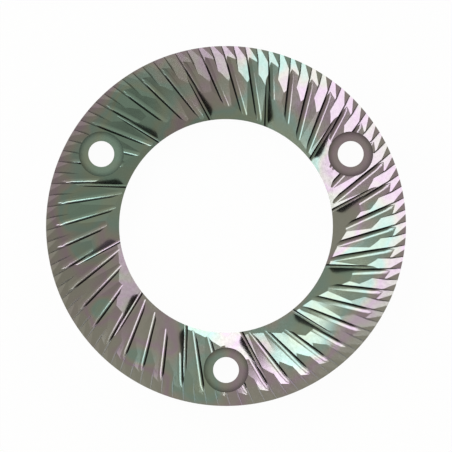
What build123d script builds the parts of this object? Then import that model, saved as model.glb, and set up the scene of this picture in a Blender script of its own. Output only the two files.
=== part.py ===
from build123d import *
import math
import os

# Flat grinder burr, cutting face up. Origin in the middle of the back face, +Z to the teeth. All in mm.
outer_d = 64.0
bore_d = 38.0
thickness = 9.0
back_chamfer = 0.5

# Inside this radius the flat land turns into a cone that falls toward the bore
cone_start_r = 28.2
cone_angle = 18.4

# Three screws, M4, with their heads sunk below the teeth
screw_count = 3
screw_circle_d = 51.2
screw_azimuth = 30.0
screw_hole_d = 4.6
recess_d = 8.0
recess_depth = 4.5

# All grooves are cut alike. The root of a groove is a straight line that passes the axis at the distance
# "pass". Looking outward along it, the left side is the steep wall and the right side the sloping face.
# Positions along the root are counted from the point where it is closest to the axis. There the root is
# "depth" below the land at the position "depth_at" and climbs outward at the climb angle.
wall_lean = 5.0

# Breakers, the deep feed grooves at the bore
breaker_count = 12
breaker_azimuth = 28.7
breaker_pass = 6.5
breaker_depth = 5.16
breaker_depth_at = 18.0
breaker_climb = 26.8
breaker_face_angle = 27.8
breaker_root_r = 0.42
breaker_width = 8.8
breaker_from = 10.0
breaker_to = 29.6

# Coarse teeth. From coarse_lift_at on the cutter lifts out on an arc
coarse_count = 48
coarse_azimuth = 1.05
coarse_pass = 8.08
coarse_depth = 1.88
coarse_depth_at = 24.8
coarse_climb = 10.8
coarse_lift_at = 25.2
coarse_lift_r = 16.5
coarse_lift_sweep = 19.0
coarse_face_angle = 26.4
coarse_root_chamfer = 0.5
coarse_width = 3.3
coarse_from = 16.0

# Fine teeth at the rim, two to each coarse one
fine_count = 2 * coarse_count
fine_azimuth = coarse_azimuth
fine_pass = 8.03
fine_depth = 0.205
fine_depth_at = 31.0
fine_climb = 7.7
fine_face_angle = 16.6
fine_width = 2.1
fine_from = 23.6
fine_to = 33.0


def tan(angle):
    return math.tan(math.radians(angle))


def blank():
    inner = bore_d / 2
    outer = outer_d / 2
    outline = Polyline(
        (inner, back_chamfer),
        (inner + back_chamfer, 0),
        (outer - back_chamfer, 0),
        (outer, back_chamfer),
        (outer, thickness),
        (cone_start_r, thickness),
        (inner, thickness - (cone_start_r - inner) * tan(cone_angle)),
        close=True,
    )
    return revolve(Plane.XZ * make_face(outline), Axis.Z)


# Section across a groove with its root at the origin, the face to the left and the wall to the right
def section(face_angle, width):
    face_top = width * tan(face_angle)
    top = face_top + 1
    outline = Polyline((0, 0), (top * tan(wall_lean), top), (-width, top), (-width, face_top), close=True)
    return make_face(outline)


def root_corner(shape):
    return shape.vertices().sort_by_distance((0, 0, 0))[0]


# Plane square to the root at the given position, x to the wall side
def root_plane(azimuth, passing, position, depth, climb):
    a = math.radians(azimuth)
    c = math.radians(climb)
    along = Vector(math.cos(a), math.sin(a), 0)
    to_wall = Vector(-math.sin(a), math.cos(a), 0)
    origin = along * position - to_wall * passing + Vector(0, 0, thickness - depth)
    heading = along * math.cos(c) + Vector(0, 0, math.sin(c))
    return Plane(origin, x_dir=to_wall, z_dir=heading)


def straight_groove(shape, azimuth, passing, depth, depth_at, climb, start, end):
    start_depth = depth + (depth_at - start) * tan(climb)
    plane = root_plane(azimuth, passing, start, start_depth, climb)
    return extrude(plane * shape, (end - start) / math.cos(math.radians(climb)))


def breaker_groove():
    shape = section(breaker_face_angle, breaker_width)
    shape = fillet(root_corner(shape), breaker_root_r)
    return straight_groove(
        shape,
        breaker_azimuth,
        breaker_pass,
        breaker_depth,
        breaker_depth_at,
        breaker_climb,
        breaker_from,
        breaker_to,
    )


def fine_groove():
    shape = section(fine_face_angle, fine_width)
    return straight_groove(
        shape, fine_azimuth, fine_pass, fine_depth, fine_depth_at, fine_climb, fine_from, fine_to
    )


# The straight part, and from there the arc about an axis straight above the root
def coarse_groove():
    shape = section(coarse_face_angle, coarse_width)
    shape = chamfer(root_corner(shape), coarse_root_chamfer)
    straight = straight_groove(
        shape,
        coarse_azimuth,
        coarse_pass,
        coarse_depth,
        coarse_depth_at,
        coarse_climb,
        coarse_from,
        coarse_lift_at,
    )
    lift_depth = coarse_depth - (coarse_lift_at - coarse_depth_at) * tan(coarse_climb)
    plane = root_plane(coarse_azimuth, coarse_pass, coarse_lift_at, lift_depth, coarse_climb)
    axis = Axis(plane.origin + plane.y_dir * coarse_lift_r, -plane.x_dir)
    return straight + revolve(plane * shape, axis, coarse_lift_sweep)


def screw_seat():
    hole = Cylinder(screw_hole_d / 2, 2 * thickness)
    recess = Pos(0, 0, thickness) * Cylinder(recess_d / 2, 2 * recess_depth)
    return Rot(0, 0, screw_azimuth) * Pos(screw_circle_d / 2, 0, 0) * (hole + recess)


def around(cut, count):
    return [Rot(0, 0, 360 / count * i) * cut for i in range(count)]


burr = blank()
burr -= around(breaker_groove(), breaker_count)
burr -= around(coarse_groove(), coarse_count)
burr -= around(fine_groove(), fine_count)
burr -= around(screw_seat(), screw_count)

os.makedirs("parts", exist_ok=True)
export_step(burr, "parts/burr_ring.step")
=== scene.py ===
import bpy, bmesh
import math
import numpy as np
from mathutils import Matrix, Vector


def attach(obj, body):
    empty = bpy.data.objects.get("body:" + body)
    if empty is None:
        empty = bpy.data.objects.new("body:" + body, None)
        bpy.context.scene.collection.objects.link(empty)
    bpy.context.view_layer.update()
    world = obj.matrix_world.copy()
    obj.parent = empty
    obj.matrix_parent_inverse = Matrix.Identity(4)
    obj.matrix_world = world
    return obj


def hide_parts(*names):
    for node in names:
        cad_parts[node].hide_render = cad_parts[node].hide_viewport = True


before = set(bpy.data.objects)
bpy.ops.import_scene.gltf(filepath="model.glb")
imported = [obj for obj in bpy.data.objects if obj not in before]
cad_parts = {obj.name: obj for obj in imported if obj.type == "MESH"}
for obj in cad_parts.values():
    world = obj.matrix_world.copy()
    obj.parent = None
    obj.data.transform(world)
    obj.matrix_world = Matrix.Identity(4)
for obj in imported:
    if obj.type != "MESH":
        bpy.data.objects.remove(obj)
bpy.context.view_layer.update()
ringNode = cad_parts["burr_ring"]
print("frame loaded")


# The steel ring

burr = {
    "mergeDistance": 2e-6,
    "cutDistance": 1e-6,
    "roundTurn": 8,            # most degrees between triangles that are shaded as one round
    # The coarse grooves, as the part's source places them
    "grooveCount": 48,
    "grooveAzimuth": 1.05,
    "groovePass": 0.00808,
    "faceAngle": 26.4,
    "wallLean": 5,
    "climb": 10.8,
    "liftAt": 0.0252,
    "liftR": 0.0165,
    # How the light bends in them: the round between face and wall, and the hollow along the face
    "rootR": 0.0008,
    "steepest": 0.9,           # sine of the steepest lean of that round
    "tipR": 0.0004,            # the round at the tip, where the cutter lifted out
    "tipFrom": 0.0272,         # where along the groove the round starts to shrink
    "tipAt": 0.0288,           # where it has shrunk to tipR
    "tipOver": 0.0007,         # how far on it is gone
    "hollowLowAt": 0.0164,     # where along the groove the hollow is level
    "hollowR": 0.036,          # its radius
    # How closely a triangle's normal and place have to fit to count as part of a groove
    "leanFit": 0.02,
    "chamferFit": 0.03,
    "climbFit": 0.08,
    "leastUp": 0.3,            # upward part of the normal
    "roundFit": 0.05,          # as a share of the round's radius
    # The breakers, whose root rounds are true in the part
    "breakerCount": 12,
    "breakerAzimuth": 28.7,
    "breakerPass": 0.0065,
    "breakerDepth": 0.00516,
    "breakerDepthAt": 0.018,
    "breakerClimb": 26.8,
    "breakerFaceAngle": 27.8,
    "breakerRootR": 0.00042,
    "topZ": 0.009,
}

tiny = 1e-15    # keeps a division from failing where a triangle has no size


# Where the centre of a root round lies from the corner of face and wall, across and up, as shares of
# its radius: cosine and sine of the direction midway between them, over the sine of half their angle
def roundCentre(faceAngle):
    half = math.radians(90 - faceAngle + burr["wallLean"]) / 2
    along = math.radians(270 - faceAngle - burr["wallLean"]) / 2
    return math.cos(along) / math.sin(half), math.sin(along) / math.sin(half)


# Flat directions along the groove whose root line runs nearest to each point, and square to it toward
# its wall; a shift takes the groove that many further on. The heading is the point's azimuth plus the
# arcsine of passing over radius, rounded to the first groove's azimuth plus whole steps.
def alongGroove(place, count, azimuth, passing, shift):
    radius = np.hypot(place[:, 0], place[:, 1])
    turn = np.degrees(np.arctan2(place[:, 1], place[:, 0]) + np.arcsin(np.minimum(passing / radius, 1)))
    step = 360 / count
    heading = np.radians(azimuth + step * (np.round((turn - azimuth) / step) + shift))
    ahead = np.stack((np.cos(heading), np.sin(heading)), 1)
    toWall = np.stack((-ahead[:, 1], ahead[:, 0]), 1)
    return ahead, toWall


# Distance from the root line to the side of the face: minus the sum of passing and how far the point
# lies toward the wall from the parallel line through the axis
def sideways(place, toWall, passing):
    return -((place[..., :2] * toWall).sum(-1) + passing)


# Triangles of the faces and root chamfers of the coarse grooves, with the directions of their groove.
# A face's normal leans toward the wall by the sine of faceAngle, and a chamfer's lies midway between
# those of face and wall. The sine of their climb along the groove is that of climb plus past over liftR.
def findCoarse(centre, normal):
    ahead = np.zeros((len(centre), 2))
    toWall = np.zeros((len(centre), 2))
    isFace = np.zeros(len(centre), bool)
    isRoot = np.zeros(len(centre), bool)
    faceLean = math.sin(math.radians(burr["faceAngle"]))
    rootLean = math.cos(math.radians(270 - burr["faceAngle"] - burr["wallLean"]) / 2)
    for shift in (-1, 0, 1):
        way, square = alongGroove(
            centre, burr["grooveCount"], burr["grooveAzimuth"], burr["groovePass"], shift
        )
        side = sideways(centre, square, burr["groovePass"])
        past = np.maximum((centre[:, :2] * way).sum(1) - burr["liftAt"], 0)
        climb = math.sin(math.radians(burr["climb"])) + past / burr["liftR"]
        across = (normal[:, :2] * square).sum(1)
        back = -(normal[:, :2] * way).sum(1) / np.sqrt(np.maximum(1 - across ** 2, tiny))
        fits = (abs(back - climb) < burr["climbFit"]) & (normal[:, 2] > burr["leastUp"])
        face = fits & (abs(across - faceLean) < burr["leanFit"]) & (side > 0)
        root = fits & (abs(across - rootLean) < burr["chamferFit"]) & (abs(side) < burr["rootR"])
        new = (face | root) & ~isFace & ~isRoot
        ahead[new], toWall[new] = way[new], square[new]
        isFace |= face & new
        isRoot |= root & new
    return ahead, toWall, isFace, isRoot


# Cuts the faces of the coarse grooves along the line where their root round begins, which lies to the
# side of the root by rootR times the sine of faceAngle less the place of the centre across
def cutFaces(work):
    work.faces.ensure_lookup_table()
    centre = np.array([face.calc_center_median() for face in work.faces])
    normal = np.array([face.normal for face in work.faces])
    toWall, isFace, isRoot = findCoarse(centre, normal)[1:]
    print("coarse faces", isFace.sum(), "root chamfers", isRoot.sum())
    across = roundCentre(burr["faceAngle"])[0]
    start = (math.sin(math.radians(burr["faceAngle"])) - across) * burr["rootR"]
    heading = np.round(np.degrees(np.arctan2(toWall[:, 1], toWall[:, 0])), 2)
    faces = list(work.faces)
    for value in np.unique(heading[isFace]):
        chosen = np.nonzero(isFace & (heading == value))[0]
        square = Vector((*toWall[chosen[0]], 0))
        edges = {edge for index in chosen for edge in faces[index].edges}
        corners = {corner for index in chosen for corner in faces[index].verts}
        geometry = [faces[index] for index in chosen] + list(edges) + list(corners)
        place = square * -(burr["groovePass"] + start)
        bmesh.ops.bisect_plane(
            work, geom=geometry, dist=burr["cutDistance"], plane_co=place, plane_no=square
        )
    bmesh.ops.triangulate(work, faces=work.faces)


# Normals that bend round a groove: sideways they lean by the sine (side + across * round) / round,
# from the steepest they reach to the face's own, and along the groove by the sine of its climb
def bentNormals(place, ahead, toWall, passing, faceAngle, rootR, climb, steepest):
    across = roundCentre(faceAngle)[0]
    turn = sideways(place, toWall, passing) / rootR + across
    turn = np.clip(turn, -steepest, math.sin(math.radians(faceAngle)))[:, None]
    rise = np.sqrt(1 - turn ** 2)
    flat = toWall * turn - ahead * climb[:, None] * rise
    return np.hstack((flat, np.sqrt(1 - climb[:, None] ** 2) * rise))


# Normal at each corner: the sum of area times normal over the triangles that meet there and turn less
# than roundTurn from this one
def plainNormals(triangles, faceNormal, area):
    point = triangles.ravel()
    owner = np.repeat(np.arange(len(triangles)), 3)
    order = np.argsort(point, kind="stable")
    count = np.bincount(point)
    first = np.cumsum(count) - count
    one = np.repeat(np.arange(len(point)), count[point])
    step = np.arange(len(one)) - np.repeat(np.cumsum(count[point]) - count[point], count[point])
    other = owner[order[first[point[one]] + step]]
    near = (faceNormal[owner[one]] * faceNormal[other]).sum(1) > math.cos(math.radians(burr["roundTurn"]))
    total = np.zeros((len(point), 3))
    np.add.at(total, one, faceNormal[other] * (area[other] * near)[:, None])
    return total / np.maximum(np.linalg.norm(total, axis=1), tiny)[:, None]


# Normals at the corners of all triangles: plain ones first, then the bent ones in the grooves
def cornerNormals(points, triangles):
    corners = points[triangles]
    cross = np.cross(corners[:, 1] - corners[:, 0], corners[:, 2] - corners[:, 0])
    length = np.linalg.norm(cross, axis=1)
    faceNormal = cross / np.maximum(length, tiny)[:, None]
    centre = corners.mean(1)
    normals = plainNormals(triangles, faceNormal, length / 2)

    ahead, toWall, isFace, isRoot = findCoarse(centre, faceNormal)
    pick = np.repeat(isFace | isRoot, 3)
    place = points[triangles.ravel()[pick]]
    ahead, toWall = np.repeat(ahead, 3, 0)[pick], np.repeat(toWall, 3, 0)[pick]
    far = (place[:, :2] * ahead).sum(1)
    climb = (far - burr["hollowLowAt"]) / burr["hollowR"]
    # Toward the tip the round shrinks evenly to tipR, and at its very end only the face's lean is left
    share = np.clip((far - burr["tipFrom"]) / (burr["tipAt"] - burr["tipFrom"]), 0, 1)
    rootR = burr["rootR"] + share * (burr["tipR"] - burr["rootR"])
    share = np.clip((far - burr["tipAt"]) / burr["tipOver"], 0, 1)
    faceLean = math.sin(math.radians(burr["faceAngle"]))
    steepest = burr["steepest"] - share * (faceLean + burr["steepest"])
    normals[pick] = bentNormals(
        place, ahead, toWall, burr["groovePass"], burr["faceAngle"], rootR, climb, steepest
    )

    # The breakers' root rounds: triangles whose centre is one root radius from the round's centre line
    ahead, toWall = alongGroove(
        centre, burr["breakerCount"], burr["breakerAzimuth"], burr["breakerPass"], 0
    )
    side = sideways(centre, toWall, burr["breakerPass"])
    slope = math.tan(math.radians(burr["breakerClimb"]))
    past = (centre[:, :2] * ahead).sum(1) - burr["breakerDepthAt"]
    root = burr["topZ"] - burr["breakerDepth"] + past * slope
    height = (centre[:, 2] - root) / math.sqrt(1 + slope ** 2)
    across, up = (value * burr["breakerRootR"] for value in roundCentre(burr["breakerFaceAngle"]))
    away = np.hypot(side + across, height - up)
    inRound = (abs(away / burr["breakerRootR"] - 1) < burr["roundFit"]) & (height < up)
    pick = np.repeat(inRound, 3)
    place = points[triangles.ravel()[pick]]
    ahead, toWall = np.repeat(ahead, 3, 0)[pick], np.repeat(toWall, 3, 0)[pick]
    climb = np.full(len(place), math.sin(math.radians(burr["breakerClimb"])))
    passing, faceAngle, rootR = burr["breakerPass"], burr["breakerFaceAngle"], burr["breakerRootR"]
    steepest = math.cos(math.radians(burr["wallLean"]))
    normals[pick] = bentNormals(place, ahead, toWall, passing, faceAngle, rootR, climb, steepest)
    print("breaker root triangles", inRound.sum())
    return normals


# The CAD triangles joined at their common corners, cut where the rounds begin, with their own normals
def buildRing():
    mesh = ringNode.data.copy()
    mesh.name = "burrSteel"
    work = bmesh.new()
    work.from_mesh(mesh)
    bmesh.ops.remove_doubles(work, verts=work.verts, dist=burr["mergeDistance"])
    work.normal_update()
    cutFaces(work)
    for face in work.faces:
        face.smooth = True
    work.to_mesh(mesh)
    work.free()
    mesh.materials.clear()

    points = np.empty(len(mesh.vertices) * 3, np.float32)
    mesh.vertices.foreach_get("co", points)
    triangles = np.empty(len(mesh.loops), np.int32)
    mesh.loops.foreach_get("vertex_index", triangles)
    normals = cornerNormals(points.reshape(-1, 3).astype(float), triangles.reshape(-1, 3))
    mesh.normals_split_custom_set(normals.tolist())

    ring = bpy.data.objects.new("burrSteel", mesh)
    bpy.context.scene.collection.objects.link(ring)
    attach(ring, "root")
    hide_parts("burr_ring")
    return ring


# Adds a node, sets its options, and links or sets its inputs
def addNode(tree, kind, inputs=None, **options):
    node = tree.nodes.new(kind)
    for name, value in options.items():
        setattr(node, name, value)
    for key, value in (inputs or {}).items():
        if isinstance(value, bpy.types.NodeSocket):
            tree.links.new(value, node.inputs[key])
        else:
            node.inputs[key].default_value = value
    return node


# The result of one calculation with numbers
def mathNode(tree, operation, *values, clamp=False):
    node = addNode(tree, "ShaderNodeMath", dict(enumerate(values)), operation=operation, use_clamp=clamp)
    return node.outputs[0]


# The result of one calculation with vectors
def vectorNode(tree, operation, *values, output=0):
    node = addNode(tree, "ShaderNodeVectorMath", dict(enumerate(values)), operation=operation)
    return node.outputs[output]


# A vector, or a colour, times a number
def scaleNode(tree, vector, factor):
    node = addNode(tree, "ShaderNodeVectorMath", {0: vector, "Scale": factor}, operation="SCALE")
    return node.outputs[0]


# Soft noise about 0.5, with as many waves to the metre as scale says
def noiseNode(tree, place, scale, detail):
    return addNode(tree, "ShaderNodeTexNoise", {"Vector": place, "Scale": scale, "Detail": detail})


# The upward part of a vector
def heightNode(tree, vector):
    return addNode(tree, "ShaderNodeSeparateXYZ", {0: vector}).outputs["Z"]


# From the first colour to the second, or to their product, by the share
def mixNode(tree, share, first, second, blend="MIX"):
    inputs = {0: share, 6: first, 7: second}    # 6, 7 and output 2 are the sockets for colours
    return addNode(tree, "ShaderNodeMix", inputs, data_type="RGBA", blend_type=blend).outputs[2]


# A soft step from toMin to toMax while the value goes from fromMin to fromMax: 3 times the square of
# the share of the way, less 2 times its cube
def rangeNode(tree, value, fromMin, fromMax, toMin, toMax):
    limits = {"Value": value, "From Min": fromMin, "From Max": fromMax, "To Min": toMin, "To Max": toMax}
    return addNode(tree, "ShaderNodeMapRange", limits, interpolation_type="SMOOTHSTEP").outputs[0]


# Unit vector from its azimuth and its angle from straight up
def direction(azimuth, fromUp):
    azimuth, fromUp = math.radians(azimuth), math.radians(fromUp)
    flat = math.sin(fromUp)
    return Vector((flat * math.cos(azimuth), flat * math.sin(azimuth), math.cos(fromUp)))


steel = {
    "colour": (0.418, 0.415, 0.412, 1),
    "edgeTint": (0.4, 0.4, 0.4, 1),
    "roughness": (0.22, 0.26),    # least and most, in fine marks
    "markNoise": 1500,            # per metre, as all noise scales here
    "markRange": (0.35, 0.65),    # the part of the noise that is used
    "markDepth": 0.0000006,
    # Painted shade: the steep groove walls and the wall side of their root rounds are painted dark
    "wallShadeColour": (0.045, 0.042, 0.042, 1),
    "wallFrom": -0.5,             # how far a surface faces back along the turn before it darkens
    "wallTo": -0.88,              # and where it is fully dark
    "deepSlope": 0.135,           # the roots of the fine teeth fall toward the bore by this share
    "deepLow": 0.0043,            # height above that fall up to which walls are dark
    "deepHigh": 0.00445,
    # Painted shade on the walls round the screw seats, by the height of their normals, between the bore
    # and the rim
    "seatSteep": 0.1,             # fully shaded up to here
    "seatFlat": 0.35,             # and not at all from here
    "seatShade": 0.6,
    "seatInner": (0.0192, 0.0196),
    "seatOuter": (0.031, 0.0315),
    # Painted shade: the floor of a seat, between the heights seatLow and seatHigh, darkens from
    # seatDimFrom to its wall
    "seatCircle": 0.0256,         # radius of the circle that the screws sit on
    "seatAzimuths": (30, 150, 270),
    "seatR": 0.0041,
    "seatDimFrom": 0.0029,
    "seatDim": 0.62,
    "seatLow": 0.0044,
    "seatHigh": 0.0046,
}

# The thin coating shines in other hues where it is thicker. Each spot has its azimuth in degrees, its
# radius and reach in millimetres, and its thickness; the thickness runs through the hues.
# These numbers aren't free choices: the base, most of the spots and the hues are the rounded result of
# a least-squares fit, by another program, to the colours in the photograph, partly changed by hand.
coating = {
    "base": 0.14,
    "fineNoise": 300,
    "fineRange": (0.3, 0.7),
    "fineShift": 0.07,            # thickness that the fine noise adds or takes
    "edgeNoise": 90,
    "edgeShift": 0.004,           # metres that the spots' edges wander
}

coatingSpots = [
    (155, 23, 14, 0.8),
    (131, 25, 10, 0.85),
    (129, 27, 5, 0.6),
    (114, 28, 12, 0.4),
    (174, 26, 6, 0.7),
    (182, 16, 14, 0.3),
    (190, 26, 6, 0.45),
    (98, 16, 8, 0.6),
    (69, 26, 22, 0.5),
    (62, 13, 15, 0.85),
    (59, 24, 10, -0.3),
    (11, 28, 17, 0.25),
    (350, 21, 14, 0.9),
    (0, 20, 9, -1.2),
    (310, 24, 17, 0.7),
    (313, 41, 18, -1.3),
    (333, 10, 15, -1.2),
    (280, 18, 6, 0.2),
    (260, 28, 13, 0.6),
    (252, 15, 9, 0.9),
    (239, 29, 6, 1.1),
    (240, 31, 7, -1.3),
    (205, 22, 6, 0.25),
    (222, 23, 5, 0.3),
    (214, 27, 4, 0.55),
    (232, 27, 5, 0.25),
    (280, 24, 5, -0.15),
]

coatingHues = [
    (0.0, (1.0, 1.0, 1.0, 1)),
    (0.18, (1.02, 0.98, 1.0, 1)),
    (0.34, (1.07, 0.84, 1.12, 1)),
    (0.47, (1.02, 0.98, 0.98, 1)),
    (0.6, (0.77, 1.05, 1.05, 1)),
    (0.8, (0.89, 1.05, 0.93, 1)),
    (1.0, (0.75, 1.08, 1.02, 1)),
]


# The coating's hue by its thickness: base plus fine noise, plus the sum over the spots of thickness
# times a soft step that falls to 0 at the reach. Coarse noise moves the edges of the spots.
def addCoating(tree, place):
    noise = noiseNode(tree, place, coating["edgeNoise"], detail=2.0).outputs["Color"]
    shift = scaleNode(tree, vectorNode(tree, "ADD", noise, (-0.5, -0.5, -0.5)), coating["edgeShift"])
    moved = vectorNode(tree, "ADD", place, shift)
    flat = vectorNode(tree, "MULTIPLY", moved, (1, 1, 0))
    fine = noiseNode(tree, place, coating["fineNoise"], detail=1.0).outputs[0]
    least, most = coating["base"] - coating["fineShift"], coating["base"] + coating["fineShift"]
    total = rangeNode(tree, fine, *coating["fineRange"], least, most)
    for azimuth, radius, reach, thickness in coatingSpots:
        spot = tuple(direction(azimuth, 90) * radius / 1000)
        away = vectorNode(tree, "DISTANCE", flat, spot, output="Value")
        total = mathNode(tree, "ADD", total, rangeNode(tree, away, 0, reach / 1000, thickness, 0))
    ramp = addNode(tree, "ShaderNodeValToRGB", {"Fac": total})
    elements = ramp.color_ramp.elements
    while len(elements) < len(coatingHues):
        elements.new(0.5)
    for element, (position, colour) in zip(elements, coatingHues):
        element.position = position
        element.color = colour
    return ramp.outputs["Color"]


# Fine marks: one noise sets the roughness and a slight bump
def addMarks(tree, place, shader):
    marks = noiseNode(tree, place, steel["markNoise"], detail=2.0).outputs[0]
    roughness = rangeNode(tree, marks, *steel["markRange"], *steel["roughness"])
    tree.links.new(roughness, shader.inputs["Roughness"])
    dents = {"Height": marks, "Strength": 1.0, "Distance": steel["markDepth"]}
    bump = addNode(tree, "ShaderNodeBump", dents)
    tree.links.new(bump.outputs[0], shader.inputs["Normal"])


# How bright the floor of a screw seat is painted, as painted shade: it falls from 1 to seatDim between
# seatDimFrom and seatR from the nearest screw's axis, and is 1 at every other height and place
def paintedSeatShade(tree, place, flat):
    away = None
    for azimuth in steel["seatAzimuths"]:
        seat = tuple(direction(azimuth, 90) * steel["seatCircle"])
        near = vectorNode(tree, "DISTANCE", flat, seat, output="Value")
        away = near if away is None else mathNode(tree, "MINIMUM", away, near)
    light = rangeNode(tree, away, steel["seatDimFrom"], steel["seatR"], 1, steel["seatDim"])
    height = heightNode(tree, place)
    below = mathNode(tree, "LESS_THAN", height, steel["seatLow"])
    above = mathNode(tree, "GREATER_THAN", height, steel["seatHigh"])
    outside = mathNode(tree, "GREATER_THAN", away, steel["seatR"])
    for elsewhere in (below, above, outside):
        light = mathNode(tree, "MAXIMUM", light, elsewhere)
    return light


# How much of a surface is painted dark as shade: by how far it faces back along the turn of the ring, or
# by how steep it is near the screw seats, and only below the roots of the fine teeth
def paintedShadeShare(tree, place, flat, normal, back):
    wallShading = rangeNode(tree, back, steel["wallTo"], steel["wallFrom"], 1, 0)
    radius = vectorNode(tree, "LENGTH", flat, output="Value")
    level = mathNode(tree, "ABSOLUTE", heightNode(tree, normal))
    isSteep = rangeNode(tree, level, steel["seatSteep"], steel["seatFlat"], steel["seatShade"], 0)
    pastBore = rangeNode(tree, radius, *steel["seatInner"], 0, 1)
    beforeRim = rangeNode(tree, radius, *steel["seatOuter"], 1, 0)
    isSteep = mathNode(tree, "MULTIPLY", isSteep, mathNode(tree, "MULTIPLY", pastBore, beforeRim))
    wallShading = mathNode(tree, "MAXIMUM", wallShading, isSteep)
    fall = mathNode(tree, "MULTIPLY", radius, steel["deepSlope"])
    above = mathNode(tree, "SUBTRACT", heightNode(tree, place), fall)
    isDeep = rangeNode(tree, above, steel["deepLow"], steel["deepHigh"], 1, 0)
    return mathNode(tree, "MULTIPLY", wallShading, isDeep)


# The colour is that of the steel times the coating's hue, which fades on walls, times the painted shade
# on the floors of the screw seats, and goes over to a near black painted shade by the share of wall
def buildSteel():
    material = bpy.data.materials.new("coatedSteel")
    material.use_nodes = True
    tree = material.node_tree
    shader = tree.nodes["Principled BSDF"]
    shader.inputs["Metallic"].default_value = 1.0
    shader.inputs["Specular Tint"].default_value = steel["edgeTint"]
    spot = addNode(tree, "ShaderNodeTexCoord")
    place, normal = spot.outputs["Object"], spot.outputs["Normal"]
    addMarks(tree, place, shader)

    # The height of outward crossed with the normal says how far a surface faces along the turn
    flat = vectorNode(tree, "MULTIPLY", place, (1, 1, 0))
    outward = vectorNode(tree, "NORMALIZE", flat)
    back = heightNode(tree, vectorNode(tree, "CROSS_PRODUCT", outward, normal))

    hueShare = rangeNode(tree, back, steel["wallTo"], steel["wallFrom"], 0, 1)
    coated = mixNode(tree, hueShare, steel["colour"], addCoating(tree, place), blend="MULTIPLY")
    coated = scaleNode(tree, coated, paintedSeatShade(tree, place, flat))
    # Painted shade: steep walls in the grooves and round the seats are darkened toward a near black
    wallShading = paintedShadeShare(tree, place, flat, normal, back)
    tree.links.new(mixNode(tree, wallShading, coated, steel["wallShadeColour"]), shader.inputs["Base Color"])
    return material


ring = buildRing()
ring.data.materials.append(buildSteel())
print("ring done:", len(ring.data.polygons), "faces")


# Floor, lamps and camera

studio = {
    "floorSize": 1.6,
    "floorDrop": 0.00002,      # below the back of the ring
    "floorColour": (0.95, 0.95, 0.95, 1),
    "floorGlow": 0.97,         # share of the floor's white that no shadow darkens
    "pictureWidth": 0.08036,   # metres across the picture
    "cameraHeight": 0.5,
    "lampColour": (0.98, 1.02, 1.0),
}


# A square floor. Seen directly or in the steel it glows white by the share floorGlow, and the rest is
# matt paint, which takes the ring's shadow.
def buildFloor():
    half, low = studio["floorSize"] / 2, -studio["floorDrop"]
    corners = [(-half, -half, low), (half, -half, low), (half, half, low), (-half, half, low)]
    mesh = bpy.data.meshes.new("floor")
    mesh.from_pydata(corners, [], [(0, 1, 2, 3)])
    floor = bpy.data.objects.new("floor", mesh)
    bpy.context.scene.collection.objects.link(floor)
    material = bpy.data.materials.new("paleFloor")
    material.use_nodes = True
    tree = material.node_tree
    tree.nodes.clear()
    path = addNode(tree, "ShaderNodeLightPath")
    direct = mathNode(tree, "ADD", path.outputs["Is Camera Ray"], path.outputs["Is Glossy Ray"])
    direct = mathNode(tree, "ADD", direct, path.outputs["Is Transmission Ray"], clamp=True)
    share = mathNode(tree, "MULTIPLY", direct, studio["floorGlow"])
    paint = addNode(tree, "ShaderNodeBsdfDiffuse", {"Color": studio["floorColour"]})
    glow = addNode(tree, "ShaderNodeEmission", {"Color": (1, 1, 1, 1), "Strength": 1.0})
    mix = addNode(tree, "ShaderNodeMixShader", {0: share, 1: paint.outputs[0], 2: glow.outputs[0]})
    addNode(tree, "ShaderNodeOutputMaterial", {"Surface": mix.outputs[0]})
    mesh.materials.append(material)


# Soft boxes by the direction they are seen in from the ring: azimuth from +X, angle from straight
# up, distance, width, height, and how bright the face is (1 is white)
lamps = {
    "side": {"azimuth": 73.5, "fromUp": 66, "distance": 1.2, "width": 0.52, "height": 0.69, "face": 2.4},
    "low": {"azimuth": 196, "fromUp": 77, "distance": 1.2, "width": 0.7, "height": 0.22, "face": 2.4},
    "fill": {"azimuth": 18, "fromUp": 72, "distance": 1.2, "width": 0.55, "height": 0.38, "face": 0.8},
}

# The large box overhead lies flat, its near edge beside the point straight above the ring
overhead = {"azimuth": 161.5, "up": 1.0, "nearEdge": 0.33, "farEdge": 0.97, "width": 1.6, "face": 1.92}

sky = {
    "tint": (1.05, 1.03, 0.81, 1),
    "grey": 0.44,
    "dimGrey": 0.33,
    "dimAzimuth": 295,
    "dimFromUp": 60,
    "dimFrom": 0.55,           # cosines of the angle from there at which the dimming starts and ends
    "dimTo": 0.97,
    # Darker patches: azimuth, angle from straight up, half width, width of the soft edge, share left
    "dark": [(263, 55, 12, 10, 0.6), (190, 49, 6, 4, 0.0)],
}


# One soft box: its power is face times pi times its area, so that its face is as bright as that
def addBox(name, place, turn, width, height, face):
    data = bpy.data.lights.new(name, "AREA")
    data.shape = "RECTANGLE"
    data.size = width
    data.size_y = height
    data.energy = face * math.pi * width * height
    data.color = studio["lampColour"]
    box = bpy.data.objects.new(name, data)
    box.location = place
    box.rotation_euler = turn
    bpy.context.scene.collection.objects.link(box)


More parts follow.
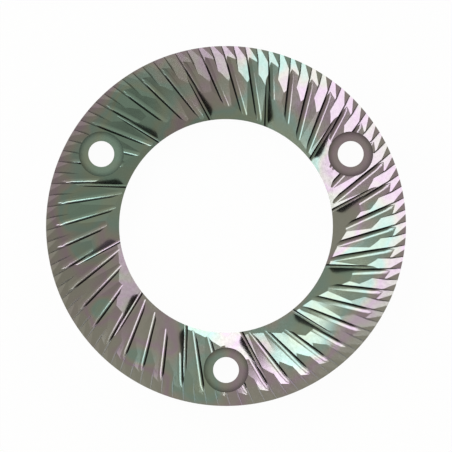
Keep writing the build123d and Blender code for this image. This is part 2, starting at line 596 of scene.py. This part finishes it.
# The boxes in lamps face the ring, and the one overhead faces down
def buildLamps():
    for name, lamp in lamps.items():
        away = direction(lamp["azimuth"], lamp["fromUp"])
        turn = away.to_track_quat("Z", "Y").to_euler()
        addBox(name, away * lamp["distance"], turn, lamp["width"], lamp["height"], lamp["face"])
    depth = overhead["farEdge"] - overhead["nearEdge"]
    middle = direction(overhead["azimuth"], 90) * (overhead["nearEdge"] + depth / 2)
    place = middle + Vector((0, 0, overhead["up"]))
    turn = (0, 0, math.radians(overhead["azimuth"]))
    addBox("overhead", place, turn, depth, overhead["width"], overhead["face"])


# Cosine of the angle between where a ray goes and a direction
def nearness(tree, toward, azimuth, fromUp):
    return vectorNode(tree, "DOT_PRODUCT", toward, tuple(direction(azimuth, fromUp)), output="Value")


# An even grey with one dimmer side: the grey falls to dimGrey as a direction nears the dim one, and is
# multiplied by the share left within each dark patch
def buildWorld():
    world = bpy.data.worlds.new("studio")
    bpy.context.scene.world = world
    world.use_nodes = True
    tree = world.node_tree
    toward = addNode(tree, "ShaderNodeTexCoord").outputs["Generated"]
    near = nearness(tree, toward, sky["dimAzimuth"], sky["dimFromUp"])
    grey = rangeNode(tree, near, sky["dimFrom"], sky["dimTo"], sky["grey"], sky["dimGrey"])
    for azimuth, fromUp, halfWidth, edge, left in sky["dark"]:
        near = nearness(tree, toward, azimuth, fromUp)
        outer = math.cos(math.radians(halfWidth + edge / 2))
        inner = math.cos(math.radians(halfWidth - edge / 2))
        grey = mathNode(tree, "MULTIPLY", grey, rangeNode(tree, near, outer, inner, 1, left))
    tree.nodes["Background"].inputs["Color"].default_value = sky["tint"]
    tree.links.new(grey, tree.nodes["Background"].inputs["Strength"])


# The camera looks straight down without perspective, pictureWidth across
def buildCamera():
    data = bpy.data.cameras.new("camera")
    data.type = "ORTHO"
    data.ortho_scale = studio["pictureWidth"]
    camera = bpy.data.objects.new("camera", data)
    camera.location = (0, 0, studio["cameraHeight"])
    bpy.context.scene.collection.objects.link(camera)
    bpy.context.scene.camera = camera


buildFloor()
buildLamps()
buildWorld()
buildCamera()
bpy.context.scene.view_settings.view_transform = "Standard"
print("studio done")
